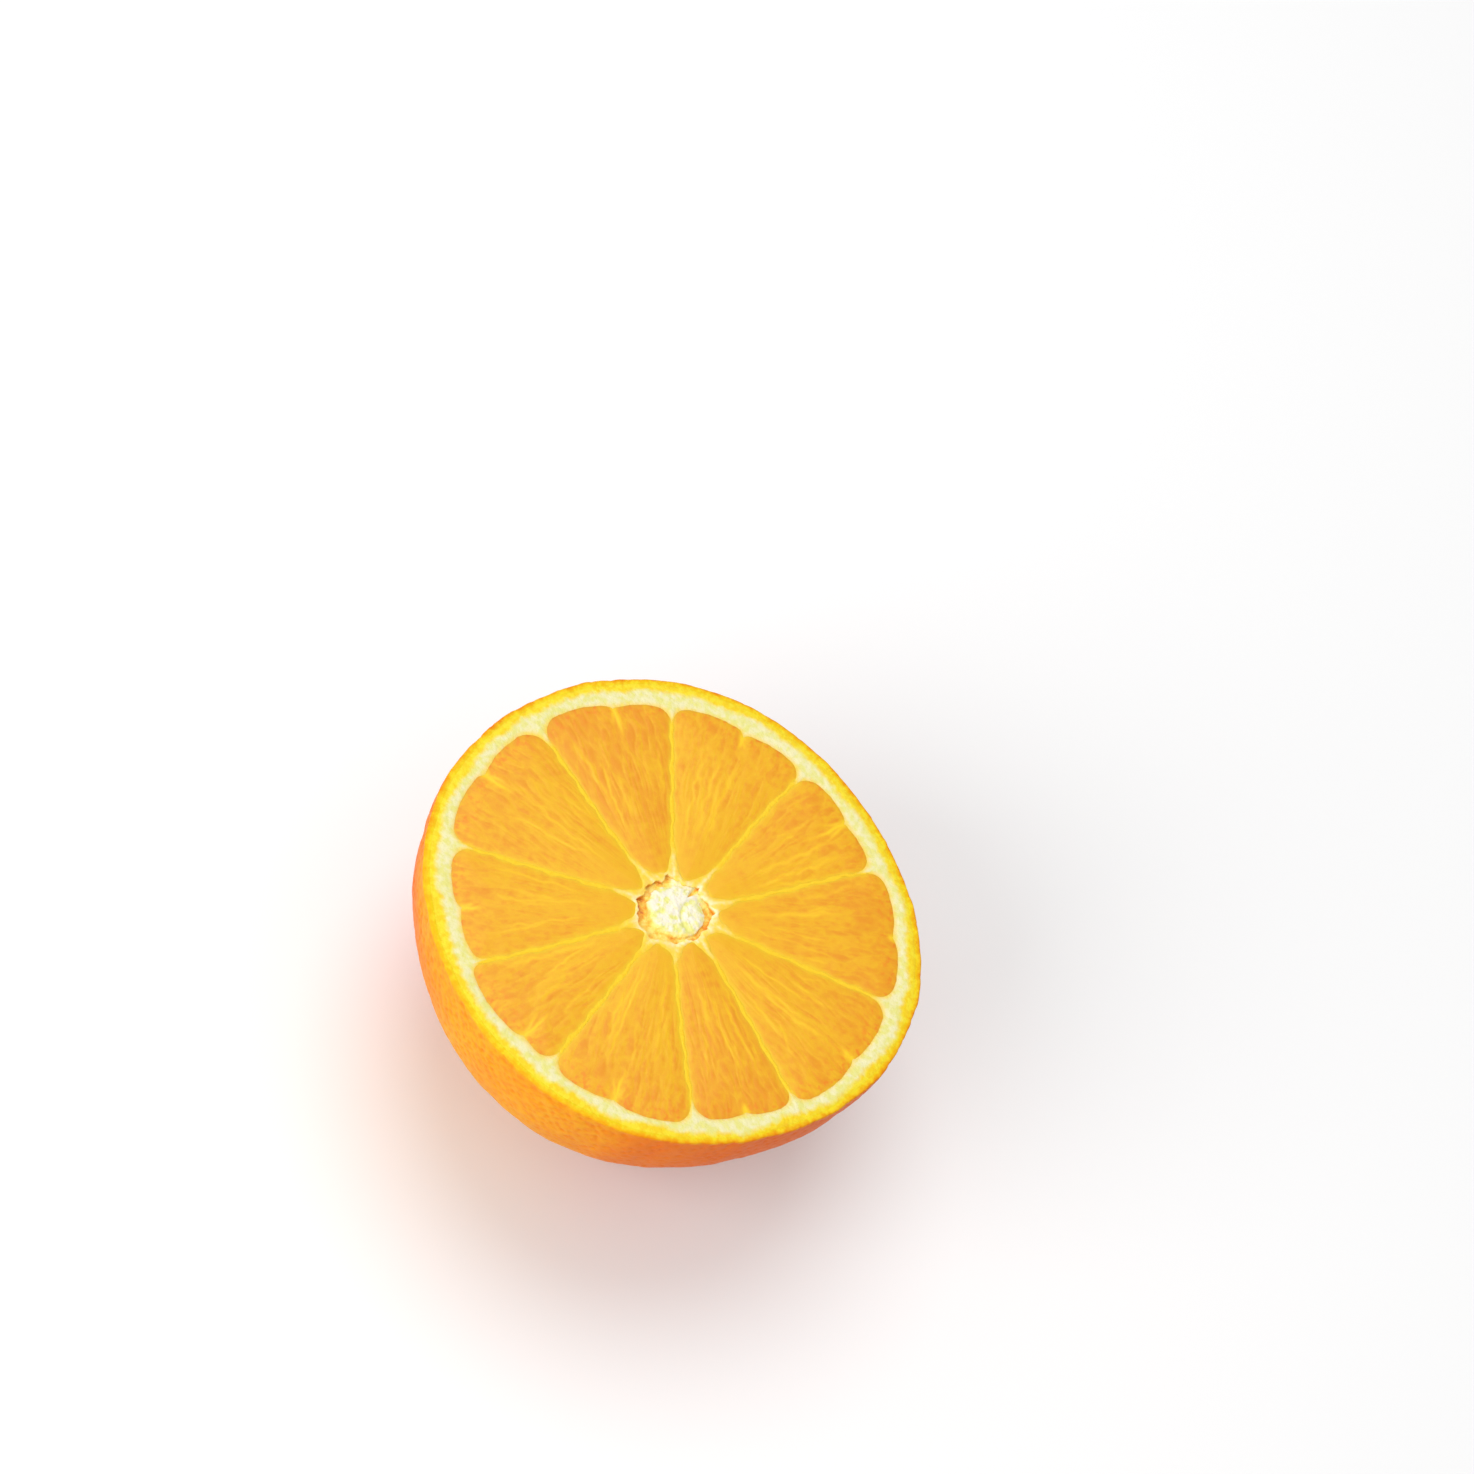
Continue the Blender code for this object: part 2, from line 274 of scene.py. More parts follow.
def share_angle(number, share, radius):
    """The angle that share of the way from a segment's membrane to the next."""
    return mix(membrane_angle(number, radius), membrane_angle(number + 1, radius), share)


def corner(distance, reach, half):
    """How far a rounded corner is drawn in, that distance from its point."""
    share = np.clip(distance / half, 0, 1)
    return reach * (1 - np.sqrt(1 - (1 - share) ** 2))


def outer_end(number, angle):
    """The radius where a segment's pulp ends: rounded in towards its membranes and notched."""
    _, first, second, notch, notch_depth, _ = SEGMENTS[number]
    wide = MEMBRANE_REACH[2]
    notch = math.radians(notch)
    side = np.where(angle < notch, membrane_angle(number, wide), membrane_angle(number + 1, wide))
    share = np.clip((angle - notch) / (side - notch), 0, 1)
    reach = mix(first, second, smooth(0.5 + (angle - notch) * wide / 2.5))
    end = reach - LOBE_DOME * np.abs(2 * share - 1) ** 2.2
    end = end - corner(np.abs(angle - notch) * wide, notch_depth, NOTCH_HALF)
    for side in (number, number + 1):
        reach = MEMBRANES[side % len(MEMBRANES)][4]
        away = np.abs(angle - membrane_angle(side, wide)) * wide - MEMBRANE_HALF
        end = end - corner(away, reach, 0.7 * reach + 1.0)
    return end + END_RIPPLE * np.sin(angle * 61 + number) * np.sin(angle * 23)


def inner_tip(number, share):
    """The radius of the wall round a segment's tip, least in the middle and most at the membranes."""
    side = np.where(share < 0.5, number, number + 1) % len(MEMBRANES)
    parting = np.array([membrane[3] for membrane in MEMBRANES])[side]
    return mix(SEGMENTS[number][0], parting, np.abs(2 * share - 1) ** 2.6)


def gap_place(angle, column):
    """What the gap has in that column of its table, at each angle."""
    angles = [place[0] for place in GAP]
    values = [place[column] for place in GAP]
    return np.interp(np.degrees(angle), angles, values, period=360)


def gap_end(angle):
    """The radius where the gap ends at the wall round the segments' tips, with small teeth."""
    around_core = polar(5.5, angle, 0)
    return gap_place(angle, 2) + 0.4 * noise_at(around_core, 0.9, 12) + 0.15 * noise_at(around_core, 0.4, 14)


def tip_end(number, share):
    """The radius where the pulp starts, outside its tip's wall."""
    wall = TIP_WALL * (1 + 0.25 * np.sin(9 * share + 3 * number))
    return inner_tip(number, share) + wall * (1 + 2.2 * np.abs(2 * share - 1) ** 4)


def pulp_outline(number):
    """Points all round the opening between the membranes, the pith and the tip's wall."""
    share = np.linspace(0, 1, 400)
    angle = share_angle(number, share, MEMBRANE_REACH[2])
    reach = MEMBRANE_HALF / MEMBRANE_REACH[2]
    angle = np.clip(angle, angle[0] + reach, angle[-1] - reach)
    far = polar(outer_end(number, angle), angle, 0)
    near = polar(tip_end(number, share), share_angle(number, share, MEMBRANE_REACH[0]), 0)
    sides = []
    for side, turn in ((number, 1), (number + 1, -1)):
        parting = MEMBRANES[side % len(MEMBRANES)][3] + 3 * TIP_WALL
        radius = np.linspace(parting, MEMBRANE_REACH[2] - 0.5, 400)
        half = membrane_half(side, radius)
        sides.append(polar(radius, membrane_angle(side, radius) + turn * half / radius, 0))
    return np.concatenate([far, near, *sides])


def grid(columns, rows):
    """A flat grid, with each point's share of the way across and up."""
    bm = bmesh.new()
    bmesh.ops.create_grid(bm, x_segments=columns, y_segments=rows, size=1.0)
    places = np.array([vert.co for vert in bm.verts])
    return bm, (places[:, 0] + 1) / 2, (places[:, 1] + 1) / 2


def carry(bm, points, **marks):
    """Moves each point to its place and gives it the named values, which the materials read."""
    for vert, point in zip(bm.verts, points * MM):
        vert.co = Vector(point) + LIFT
    for name, values in marks.items():
        layer = bm.verts.layers.float.new(name)
        for vert, value in zip(bm.verts, values):
            vert[layer] = value


def close_under(bm, depth):
    """Turns a sheet into a closed slab by drawing its edges down and filling the bottom."""
    edges = [edge for edge in bm.edges if edge.is_boundary]
    drawn = bmesh.ops.extrude_edge_only(bm, edges=edges)["geom"]
    verts = [item for item in drawn if isinstance(item, bmesh.types.BMVert)]
    bmesh.ops.translate(bm, verts=verts, vec=(0, 0, -depth * MM))
    bmesh.ops.holes_fill(bm, edges=[item for item in drawn if isinstance(item, bmesh.types.BMEdge)], sides=0)


def piece(name, bm, material):
    """Makes the finished mesh an object that stands for the node."""
    bmesh.ops.remove_doubles(bm, verts=bm.verts, dist=0.002 * MM)
    bmesh.ops.recalc_face_normals(bm, faces=bm.faces)
    for face in bm.faces:
        face.smooth = True
    mesh = bpy.data.meshes.new(name)
    bm.to_mesh(mesh)
    bm.free()
    mesh.set_sharp_from_angle(angle=math.radians(50))
    mesh.materials.append(material)
    made = bpy.data.objects.new(name, mesh)
    bpy.context.scene.collection.objects.link(made)
    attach(made, "root")
    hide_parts("orange_half")
    return made


def add(tree, kind, inputs=None, **settings):
    """A new node, with its settings, and each named input linked to a socket or set to a value."""
    made = tree.nodes.new(kind)
    for name, value in settings.items():
        setattr(made, name, value)
    for name, value in (inputs or {}).items():
        if isinstance(value, bpy.types.NodeSocket):
            tree.links.new(value, made.inputs[name])
        else:
            made.inputs[name].default_value = value
    return made


def blend(tree, share, first, second):
    """One colour turning into another by that share."""
    mixer = add(tree, "ShaderNodeMix", data_type="RGBA")
    for socket, value in ((0, share), (6, first), (7, second)):
        if isinstance(value, bpy.types.NodeSocket):
            tree.links.new(value, mixer.inputs[socket])
        else:
            mixer.inputs[socket].default_value = value
    return mixer.outputs[2]


def sum_of(tree, first, second, factor=1.0):
    """first + second * factor."""
    return add(tree, "ShaderNodeMath", {0: second, 1: factor, 2: first}, operation="MULTIPLY_ADD").outputs[0]


def ramp(tree, value, *stops):
    """Colours along a value, each stop a place and a colour."""
    made = add(tree, "ShaderNodeValToRGB", {"Fac": value})
    elements = made.color_ramp.elements
    while len(elements) < len(stops):
        elements.new(0.5)
    for element, (place, shade) in zip(elements, stops):
        element.position = place
        element.color = shade
    return made.outputs["Color"]


def pointing(tree, vector, way):
    """How far a vector points that way."""
    inputs = {0: vector, 1: way}
    return add(tree, "ShaderNodeVectorMath", inputs, operation="DOT_PRODUCT").outputs["Value"]


def span(tree, value, low, high):
    """The value's share of the way from low to high, smoothly, kept between 0 and 1."""
    inputs = {"Value": value, "From Min": low, "From Max": high}
    return add(tree, "ShaderNodeMapRange", inputs, interpolation_type="SMOOTHSTEP").outputs["Result"]


def mark(tree, name):
    """A value that the piece's points carry."""
    return add(tree, "ShaderNodeAttribute", attribute_name=name).outputs["Fac"]


def spots(tree, place, size, detail=2.0):
    """Noise from about 0.3 to 0.7, its swells about that many millimetres across."""
    inputs = {"Vector": place, "Scale": 1 / (size * MM), "Detail": detail}
    return add(tree, "ShaderNodeTexNoise", inputs).outputs["Fac"]


def finish(name, roughness, glow, glow_radius):
    """A new material, its tree, its shader and the place of each point. glow is how much light goes
    through the flesh, and glow_radius how far, in millimetres, in red, green and blue."""
    material = bpy.data.materials.new(name)
    material.use_nodes = True
    tree = material.node_tree
    shader = tree.nodes["Principled BSDF"]
    shader.inputs["Roughness"].default_value = roughness
    shader.inputs["Subsurface Weight"].default_value = glow
    shader.inputs["Subsurface Radius"].default_value = glow_radius
    shader.inputs["Subsurface Scale"].default_value = MM
    place = add(tree, "ShaderNodeTexCoord").outputs["Object"]
    return material, tree, shader, place


def relief(tree, shader, height, distance):
    bump = add(tree, "ShaderNodeBump", {"Height": height, "Distance": distance * MM, "Strength": 1.0})
    tree.links.new(bump.outputs["Normal"], shader.inputs["Normal"])


def peel_colour(tree, place):
    """The colour of the cut peel, from the pith out to the rind, on the distance in from the rim."""
    flat = add(tree, "ShaderNodeVectorMath", {0: place, 1: (1, 1, 0)}, operation="MULTIPLY").outputs[0]
    outwards = add(tree, "ShaderNodeVectorMath", {0: flat}, operation="NORMALIZE").outputs[0]
    inputs = {0: outwards, "Scale": RIM_RADIUS * MM}
    around = add(tree, "ShaderNodeVectorMath", inputs, operation="SCALE").outputs[0]
    edge = sum_of(tree, mark(tree, "from_rim"), spots(tree, around, 1.6, 1.0), 1.2)
    edge = sum_of(tree, edge, spots(tree, place, 0.9, 2.0), 0.9)
    ragged = sum_of(tree, edge, spots(tree, around, 8.0, 1.0), 2.8)
    ragged = sum_of(tree, ragged, span(tree, pointing(tree, outwards, BROAD_SIDE), 0.2, 1.0), 0.45)
    pith = blend(tree, span(tree, spots(tree, place, 1.2, 4.0), 0.35, 0.65), colour(222, 216, 126),
                 colour(230, 223, 174))
    yellow = blend(tree, span(tree, spots(tree, place, 0.9), 0.4, 0.6), colour(234, 200, 14),
                   colour(236, 213, 36))
    inside = blend(tree, span(tree, ragged, 4.1, 5.3), yellow, pith)
    # Painted light and shade: the rind is painted paler towards the key lamp and deeper orange away from it
    toward_painted_light = sum_of(tree, pointing(tree, outwards, PAINTED_LIGHT_SIDE), spots(tree, place, 12.0), 0.6)
    rind = ramp(tree, span(tree, toward_painted_light, 0.6, 1.4), (0.0, colour(218, 97, 7)), (0.5, colour(224, 122, 11)),
                (1.0, colour(227, 158, 18)))
    spotted = sum_of(tree, 0.0, span(tree, spots(tree, place, 0.9, 3.0), 0.4, 0.7), 0.5)
    mottled = blend(tree, spotted, rind, colour(222, 108, 9))
    return blend(tree, span(tree, edge, 0.25, 2.35), mottled, inside)


def rind_material():
    material, tree, shader, place = finish("orange_rind", 0.45, 0.2, (0.9, 0.5, 0.2))
    shader.inputs["Specular IOR Level"].default_value = 0.08
    skin = peel_colour(tree, place)
    # Painted shade: below the rim, the rind is painted deeper orange on its left flank, turned from the key
    # lamp
    painted_shade_flank = span(tree, pointing(tree, place, PAINTED_SHADE_SIDE), -4 * MM, 24 * MM)
    deep = sum_of(tree, 0.0, painted_shade_flank, span(tree, mark(tree, "from_rim"), -1.0, -8.0))
    skin = blend(tree, sum_of(tree, 0.0, deep, 0.5), skin, colour(214, 82, 6))
    tree.links.new(blend(tree, sum_of(tree, 0.0, mark(tree, "pore"), 0.4), skin, colour(222, 90, 4)),
                   shader.inputs["Base Color"])
    relief(tree, shader, spots(tree, place, 0.35, 3.0), 0.04)
    return material


def pith_material():
    material, tree, shader, place = finish("pith_and_membranes", 0.6, 0.25, (0.45, 0.4, 0.3))
    shader.inputs["Specular IOR Level"].default_value = 0.3
    peel = peel_colour(tree, place)
    fibres = blend(tree, spots(tree, place, 0.8), colour(241, 188, 15), colour(245, 205, 34))
    flesh = blend(tree, mark(tree, "yellowing"), peel, fibres)
    cream = blend(tree, span(tree, spots(tree, place, 0.9), 0.3, 0.7), colour(240, 216, 100),
                  colour(244, 232, 186))
    walls = blend(tree, mark(tree, "star"), flesh, cream)
    below = blend(tree, span(tree, mark(tree, "down"), 0.05, 0.25), walls, colour(240, 160, 44))
    tree.links.new(below, shader.inputs["Base Color"])
    relief(tree, shader, spots(tree, place, 0.5, 4.0), 0.12)
    return material


def pulp_material():
    material, tree, shader, place = finish("juice_sacs", 0.4, 0.45, (1.2, 0.8, 0.3))
    shader.inputs["Specular IOR Level"].default_value = 0.3
    run = add(tree, "ShaderNodeCombineXYZ", {"X": mark(tree, "across"), "Y": mark(tree, "along")}).outputs[0]
    stretch = add(tree, "ShaderNodeMapping", {"Vector": run, "Scale": (1.4, 0.36, 1.0)}).outputs[0]
    inputs = {"Vector": stretch, "Scale": 1.0, "Detail": 2.0, "Distortion": 1.0}
    fibres = add(tree, "ShaderNodeTexNoise", inputs).outputs["Fac"]
    tone = sum_of(tree, 0.0, mark(tree, "sac_tone"), 0.7)
    tone = sum_of(tree, tone, fibres, 1.2)
    tone = sum_of(tree, tone, spots(tree, place, 1.3, 3.0), 1.9)
    tone = sum_of(tree, tone, spots(tree, place, 5.0), 0.9)
    tone = sum_of(tree, tone, mark(tree, "outwards"), -0.75)
    body = ramp(tree, span(tree, tone, 1.0, 2.6),
                (0.0, colour(224, 146, 14)), (0.5, colour(228, 163, 13)), (1.0, colour(230, 175, 12)))
    walls = blend(tree, sum_of(tree, 0.0, mark(tree, "sac_wall"), 0.3), body, colour(232, 182, 14))
    near_pith = span(tree, mark(tree, "outwards"), 0.78, 0.9)
    flecks = sum_of(tree, 0.0, span(tree, spots(tree, place, 0.9), 0.5, 0.7), near_pith)
    flecked = blend(tree, sum_of(tree, 0.0, flecks, 0.6), walls, colour(230, 118, 18))
    rimmed = blend(tree, mark(tree, "pale"), flecked, colour(244, 204, 24))
    tree.links.new(rimmed, shader.inputs["Base Color"])
    relief(tree, shader, fibres, 0.01)
    return material


def core_material():
    material, tree, shader, place = finish("core_and_gap", 0.7, 0.3, (0.5, 0.45, 0.3))
    shader.inputs["Specular IOR Level"].default_value = 0.3
    sponge = spots(tree, place, 1.3, 3.0)
    # Greenish-yellow: the core's own patches, from the noise, and painted shade in its hollows, from the low
    # mark
    green = span(tree, sum_of(tree, sponge, mark(tree, "low"), 0.3), 0.42, 0.70)
    white = blend(tree, green, colour(238, 231, 210), colour(228, 225, 134))
    # The gap's brown is partly its own browning and partly painted shade of the trench, darkest by its outer
    # wall
    brown_and_painted_shade = sum_of(tree, mark(tree, "gap"), spots(tree, place, 0.8, 3.0), 1.5)
    browned_and_painted_shade = ramp(tree, sum_of(tree, -0.75, brown_and_painted_shade), (0.25, colour(250, 226, 124)),
                   (0.5, colour(248, 204, 84)), (0.75, colour(240, 168, 66)), (1.0, colour(206, 118, 64)))
    whole = blend(tree, span(tree, mark(tree, "gap"), 0.0, 0.4), white, browned_and_painted_shade)
    tree.links.new(whole, shader.inputs["Base Color"])
    relief(tree, shader, spots(tree, place, 0.4, 4.0), 0.15)
    return material


def pore_places():
    """The middles of the pores: a spiral of even spacing over the dome, each jittered from its place."""
    rng = np.random.default_rng(11)
    count = int(math.tau * DOME_DEPTH**2 / (0.866 * PORE_SPACING**2))
    order = np.arange(count) + 0.5
    drop = order / count
    turn = order * math.pi * (3 - math.sqrt(5))
    level = np.sqrt(1 - drop**2)
    places = np.stack((level * np.cos(turn), level * np.sin(turn), -drop), axis=-1) * DOME_DEPTH
    return places + rng.normal(0, 0.16 * PORE_SPACING, places.shape)


def dome_points(angle, slope):
    """Points on the plain dome. slope is how far below the cut each lies, in radians."""
    return polar(rim_radius(angle) * np.cos(slope), angle, -DOME_DEPTH * np.sin(slope))


def foot_slope():
    return math.asin(LIFT.z / MM / DOME_DEPTH)


def rind_relief(points, slope, share):
    """Moves points on the dome out and in by that share of the rind's swells, pebbles, pores and the
    bumps along its cut edge. Returns the points and how deep in a pore each is."""
    outwards = points / np.linalg.norm(points, axis=1)[:, None]
    above_foot = smooth((foot_slope() - slope) / math.radians(12))
    height = np.zeros(len(points))
    for swell, size in RIND_SWELLS:
        height += swell * noise_at(points, size)
    height += PEBBLE_HEIGHT * noise_at(points, PEBBLE_SIZE, 3)
    height += RIM_BUMPS * noise_at(points, RIM_BUMP_SIZE, 7) * np.exp(-slope * DOME_DEPTH / 2)
    pore = np.exp(-((nearest(outwards * DOME_DEPTH, pore_places()) / PORE_RADIUS) ** 2))
    height -= PORE_DEPTH * pore * (1 + 0.6 * noise_at(points, 3.0, 9))
    return points + outwards * (height * above_foot * share)[:, None], pore


def rind(material):
    """The rind from its cut edge to where it turns under, a band closed by a plain inner wall."""
    seam = math.radians(SEAM_SLOPE)
    cut = [(RIND_LIP, RIND_WALL), (RIND_LIP, 0.0), (RIND_LIP * 0.85, 0.0), (RIND_LIP * 0.7, 0.0)]
    for step in range(5):
        turn = math.radians(90 * step / 5)
        cut.append((EDGE_ROUNDING * (1 - math.sin(turn)), EDGE_ROUNDING * (1 - math.cos(turn))))
    insets = np.array([inset for inset, _ in cut])
    drops = np.array([drop for _, drop in cut])
    dome_rows = 84
    rows = len(cut) + dome_rows + 2
    bm, around, up = grid(RIND_COLUMNS, rows)
    angle = around * math.tau
    row = np.round(up * rows).astype(int)
    on_cut = row < len(cut)
    step = np.clip(row - len(cut), 0, dome_rows)
    first = math.asin(EDGE_ROUNDING / DOME_DEPTH)
    slope = np.where(on_cut, 0, mix(first, seam, step / dome_rows))
    points = dome_points(angle, slope)
    share = mix(EDGE_RELIEF, 1, smooth((slope - first) / math.radians(1.2)))
    moved, pore = rind_relief(points, slope, share)
    index = np.clip(row, 0, len(cut) - 1)
    lip = polar(rim_radius(angle) - insets[index], angle, -drops[index])
    turn = np.linspace(0, math.tau, RIND_COLUMNS + 1)
    edge = dome_points(turn, np.full_like(turn, first))
    shift = (rind_relief(edge, np.full_like(turn, first), EDGE_RELIEF)[0] - edge) * (1, 1, 0)
    lip += shift[np.round(around * RIND_COLUMNS).astype(int)] * (1 - insets[index] / RIND_LIP)[:, None]
    inner = dome_points(angle, np.full_like(slope, seam)) * (1 - RIND_THICKNESS / RIM_RADIUS)
    points = np.where(on_cut[:, None], lip, moved)
    points = np.where((row == rows - 1)[:, None], inner, points)
    last = polar(rim_radius(angle) - RIND_LIP, angle, -RIND_WALL)
    points = np.where((row == rows)[:, None], last, points)
    from_rim = np.where(on_cut, insets[index] - drops[index], -EDGE_ROUNDING - (slope - first) * DOME_DEPTH)
    carry(bm, points, from_rim=from_rim, pore=np.where(on_cut, 0, pore))
    return piece("rind", bm, material)


def underside(material):
    """The rind under the seam, down to the flat foot and the scar in its middle, closed inside."""
    seam = math.radians(SEAM_SLOPE)
    inner_rows, dome_rows, foot_rows = 6, 66, 8
    rows = inner_rows + dome_rows + foot_rows
    bm, around, up = grid(UNDERSIDE_COLUMNS, rows)
    angle = around * math.tau
    row = np.round(up * rows).astype(int)
    first = seam - SEAM_LAP / DOME_DEPTH
    slope = mix(first, foot_slope(), np.clip((row - inner_rows) / dome_rows, 0, 1))
    points, pore = rind_relief(dome_points(angle, slope), slope, np.ones(len(slope)))
    inside = (np.pi / 2 - seam) * np.clip(row / inner_rows, 0, 1)
    hollow = dome_points(angle, np.pi / 2 - inside) * (1 - RIND_THICKNESS / RIM_RADIUS)
    points = np.where((row < inner_rows)[:, None], hollow, points)
    foot_radius = RIM_RADIUS * math.cos(foot_slope())
    out = 1 - np.clip((row - inner_rows - dome_rows) / foot_rows, 0, 1)
    radius = foot_radius * out
    scar = SCAR_DEPTH * (1 - smooth((radius / SCAR_RADIUS - 0.7) / 0.3))
    foot = polar(radius, angle, scar - LIFT.z / MM)
    points = np.where((row > inner_rows + dome_rows)[:, None], foot, points)
    pore = np.where(row > inner_rows + dome_rows, 0, pore)
    carry(bm, points, from_rim=-slope * DOME_DEPTH, pore=pore)
    return piece("rind_underside", bm, material)


def pith(material):
    """The pith with its wedges, the membranes and the wall round the segments' tips, all one web, with
    an opening for each segment."""
    rows = WALL_ROWS + STRIP_ROWS + PITH_ROWS
    columns = WEB_COLUMNS * len(SEGMENTS)
    bm, around, up = grid(columns, rows)
    column = np.round(around * columns).astype(int)
    row = np.round(up * rows).astype(int)
    number = column // WEB_COLUMNS % len(SEGMENTS)
    place = column % WEB_COLUMNS
    points = np.zeros((len(column), 3))
    yellowing = np.zeros(len(column))
    star = np.zeros(len(column))
    from_rim = np.full(len(column), PEEL_THICKNESS)
    for segment in range(len(SEGMENTS)):
        chosen = number == segment
        made = web_points(segment, place[chosen], row[chosen])
        points[chosen], yellowing[chosen], star[chosen], from_rim[chosen] = made
    points[:, 2] += 0.03 * noise_at(points, 0.9, 2) * smooth(from_rim - 1)
    carry(bm, points, yellowing=yellowing, star=star, from_rim=from_rim, down=np.zeros(len(points)))
    bm.faces.ensure_lookup_table()
    cell_column = np.arange(columns * rows) % columns % WEB_COLUMNS
    cell_row = np.arange(columns * rows) // columns
    opening = (cell_column >= SIDE_COLUMNS) & (cell_column < WEB_COLUMNS - SIDE_COLUMNS)
    opening &= (cell_row >= WALL_ROWS) & (cell_row < WALL_ROWS + STRIP_ROWS)
    bmesh.ops.delete(bm, geom=[bm.faces[i] for i in np.flatnonzero(opening)], context="FACES")
    bmesh.ops.remove_doubles(bm, verts=bm.verts, dist=0.002 * MM)
    top = bm.faces[:]
    lower = bmesh.ops.extrude_face_region(bm, geom=top, use_keep_orig=True)["geom"]
    verts = [item for item in lower if isinstance(item, bmesh.types.BMVert)]
    down = bm.verts.layers.float["down"]
    for vert in verts:
        vert[down] = 1
    bmesh.ops.translate(bm, verts=verts, vec=(0, 0, -PITH_THICKNESS * MM))
    return piece("pith_and_membranes", bm, material)


def web_points(number, place, row):
    """One segment's stretch of the web: its points, and how yellow, how white as the star and how far
    from the rim each is. Its first and last columns lie on the membranes."""
    from_last = WEB_COLUMNS - place
    inside = np.clip((place - SIDE_COLUMNS) / (WEB_COLUMNS - 2 * SIDE_COLUMNS), 0, 1)
    inside = mix(inside, (1 - np.cos(np.pi * inside)) / 2, 0.35)
    side_share = np.clip(np.minimum(place, from_last) / SIDE_COLUMNS, 0, 1)

    def angle_at(radius):
        start, end = membrane_angle(number, radius), membrane_angle(number + 1, radius)
        half_start = membrane_half(number, radius) / radius
        half_end = membrane_half(number + 1, radius) / radius
        angle = mix(start + half_start, end - half_end, inside)
        angle = np.where(place < SIDE_COLUMNS, start + half_start * place / SIDE_COLUMNS, angle)
        return np.where(from_last < SIDE_COLUMNS, end - half_end * from_last / SIDE_COLUMNS, angle)

    share = place / WEB_COLUMNS
    wide = angle_at(np.full(len(place), MEMBRANE_REACH[2]))
    end = outer_end(number, wide)
    rim = rim_radius(wide) - RIND_LIP + 0.3
    wall_share = np.clip(row / WALL_ROWS, 0, 1)
    strip_share = np.clip((row - WALL_ROWS) / STRIP_ROWS, 0, 1)
    pith_share = np.clip((row - WALL_ROWS - STRIP_ROWS) / PITH_ROWS, 0, 1)
    even = share_angle(number, share, MEMBRANE_REACH[0])
    tip = tip_end(number, share)
    edge = np.minimum(gap_end(even), tip - THINNEST_WALL)
    wall = mix(edge, tip, wall_share)
    strip = mix(tip, end, strip_share)
    ring = mix(end, rim, pith_share)
    on_wall, on_ring = row <= WALL_ROWS, row >= WALL_ROWS + STRIP_ROWS
    radius = np.where(on_wall, wall, np.where(on_ring, ring, strip))
    angle = np.where(on_ring, wide, angle_at(radius))
    angle = np.where(on_wall, mix(even, angle, wall_share**2), angle)
    crown = MEMBRANE_CROWN * (1 - side_share**2)
    height = np.where(on_wall, 0.10 * (1 - (2 * wall_share - 1) ** 2), np.where(on_ring, 0, crown))
    ring_height = PEEL_TILT * np.sin(np.pi * pith_share) - 0.04 * smooth((pith_share - 0.7) / 0.3)
    height = np.where(on_ring, ring_height, height)
    drawn = np.maximum(max(SEGMENTS[number][1:3]) - end, 0)
    yellowing = smooth((end + 0.6 * (1 + drawn) - radius) / (1.2 + 0.6 * drawn))
    white_edge = np.exp(-((np.maximum(radius - edge - 0.2, 0) / 0.7) ** 2))
    sides = angle - membrane_angle(number, radius), membrane_angle(number + 1, radius) - angle
    ridge = np.exp(-((np.minimum(*sides) * radius / 0.3) ** 2))
    arm = (0.15 + 0.6 * ridge) * (1 - smooth((radius - 6.5) / 5))
    star = np.where(on_ring, 0, np.maximum(WALL_WHITES[number] * white_edge, arm))
    from_rim = np.where(on_ring, rim_radius(wide) - radius, PEEL_THICKNESS)
    return polar(radius, angle, height), yellowing, star, from_rim


def sac_cells(number, across, along):
    """The juice sacs of a segment, cells much longer than wide. Returns, for each point, how far into
    its sac it lies, from 0 on the wall, and its sac's own number from 0 to 1."""
    rng = np.random.default_rng(100 + number)
    width = np.arange(across.min() - 2, across.max() + 2, SAC_WIDTH)
    length = np.arange(along.min() - SAC_LENGTH, along.max() + SAC_LENGTH, SAC_LENGTH)
    middles = np.array([(x, y + (i % 2) * SAC_LENGTH / 2) for i, x in enumerate(width) for y in length])
    middles += rng.uniform(-0.42, 0.42, middles.shape) * (SAC_WIDTH, SAC_LENGTH)
    own = rng.uniform(0, 1, len(middles))
    tree = kdtree.KDTree(len(middles))
    for index, (x, y) in enumerate(middles):
        tree.insert((x / SAC_WIDTH, y / SAC_LENGTH, 0), index)
    tree.balance()
    inside, tone = np.zeros(len(across)), np.zeros(len(across))
    for index, point in enumerate(zip(across / SAC_WIDTH, along / SAC_LENGTH)):
        (_, nearest_sac, first), (_, _, second) = tree.find_n((*point, 0), 2)
        inside[index] = second - first
        tone[index] = own[nearest_sac]
    return inside, tone


def strands(number, radius, angle):
    """How pale the pulp is from the few walls between its sacs that lie edge on, swaying out along it."""
    rng = np.random.default_rng(300 + number)
    pale = np.zeros(len(radius))
    for _ in range(STRANDS):
        share, drift = rng.uniform(0.1, 0.9), rng.uniform(-0.15, 0.15)
        inner, outer = rng.uniform(8, 22), rng.uniform(25, 34)
        width, strength, first = rng.uniform(0.2, 0.4), rng.uniform(0.2, 0.55), rng.uniform(0, 50)
        along = (radius - inner) / (outer - inner)
        sway = 0.5 * noise_at(polar(radius, 0, first), 3.0) + 0.25 * noise_at(polar(radius, 1, first), 1.2)
        away = (angle - share_angle(number, share + drift * along, radius)) * radius + sway
        strand = np.exp(-((away / width) ** 2)) * smooth(along * 3) * smooth((1 - along) * 3)
        pale = np.maximum(pale, strength * strand)
    return pale


